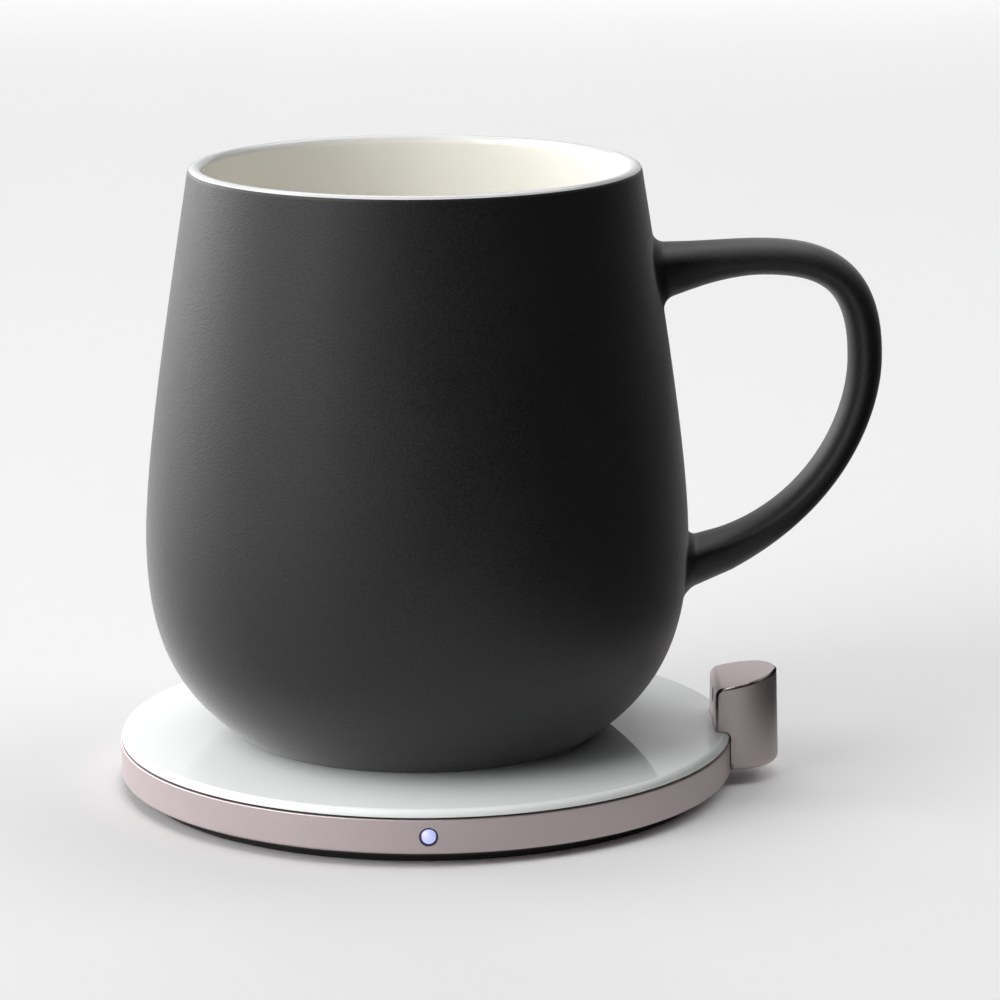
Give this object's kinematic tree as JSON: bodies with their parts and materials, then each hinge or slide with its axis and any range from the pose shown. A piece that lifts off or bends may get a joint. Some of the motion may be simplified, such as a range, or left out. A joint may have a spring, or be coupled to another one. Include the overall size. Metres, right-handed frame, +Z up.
{
  "type": "self-heating mug with charging pad",
  "caption": "Round-bellied mug with a loop handle, warmed by induction on a flat round pad that has a glass top, a metal ring and a sensor post.",
  "frame": {"origin": "centre of the pad's sole, on the surface that it stands on", "axes": "+Z up along the pad's axis, +X towards the sensor post and the mug's handle, -Y towards the indicator light, +Y towards the power socket"},
  "size_m": [0.1239, 0.1005, 0.1014],
  "materials": {
    "dark_stoneware": "matte, finely speckled",
    "cream_glaze": "gloss",
    "film_metal": "satin",
    "white_glass": "gloss, white behind",
    "black_gasket": "matte",
    "mauve_anodised": "fine bead-blasted anodising",
    "black_plastic": "fine texture",
    "black_silicone": "matte",
    "screw_steel": "bright",
    "ferrite": "matte",
    "copper": "lacquered",
    "tinned_lead": "satin",
    "board_green": "satin",
    "chip_black": "satin",
    "capacitor_tan": "satin",
    "bead_green": "gloss",
    "socket_steel": "bright",
    "lamp_white": "gloss",
    "lit_pipe": "frosted",
    "dark_window": "gloss",
    "sensor_metal": "satin",
    "ribbon_amber": "satin"
  },
  "bodies": {
    "pad": {"glass_top": "white_glass", "glass_gasket": "black_gasket", "rim_ring": "mauve_anodised", "base_cover": "black_plastic", "silicone_sole": "black_silicone", "base_screws": "screw_steel", "carrier_screws": "screw_steel", "coil_carrier": "black_plastic", "ferrite_disc": "ferrite", "induction_coil": "copper", "coil_leads": "copper", "thermistor": "bead_green", "thermistor_leads": "tinned_lead", "circuit_board": "board_green", "power_inductor": "chip_black", "driver_chips": "chip_black", "board_capacitors": "capacitor_tan", "socket_shell": "socket_steel", "socket_tongue": "black_plastic", "lamp_chip": "lamp_white", "light_pipe": "lit_pipe", "light_surround": "black_plastic", "post_shell": "mauve_anodised", "post_cap": "black_plastic", "post_screws": "screw_steel", "sensor_window": "dark_window", "infrared_sensor": "sensor_metal", "sensor_board": "board_green", "sensor_ribbon": "ribbon_amber"},
    "mug": {"mug_body": "dark_stoneware", "mug_glaze": "cream_glaze", "mug_handle": "dark_stoneware", "heating_film": "film_metal"}
  },
  "joints": [
    {"name": "mug_lift", "type": "slide", "parent": "pad", "child": "mug", "axis": [0, 0, 1], "range_m": [0, 0.15]}
  ]
}
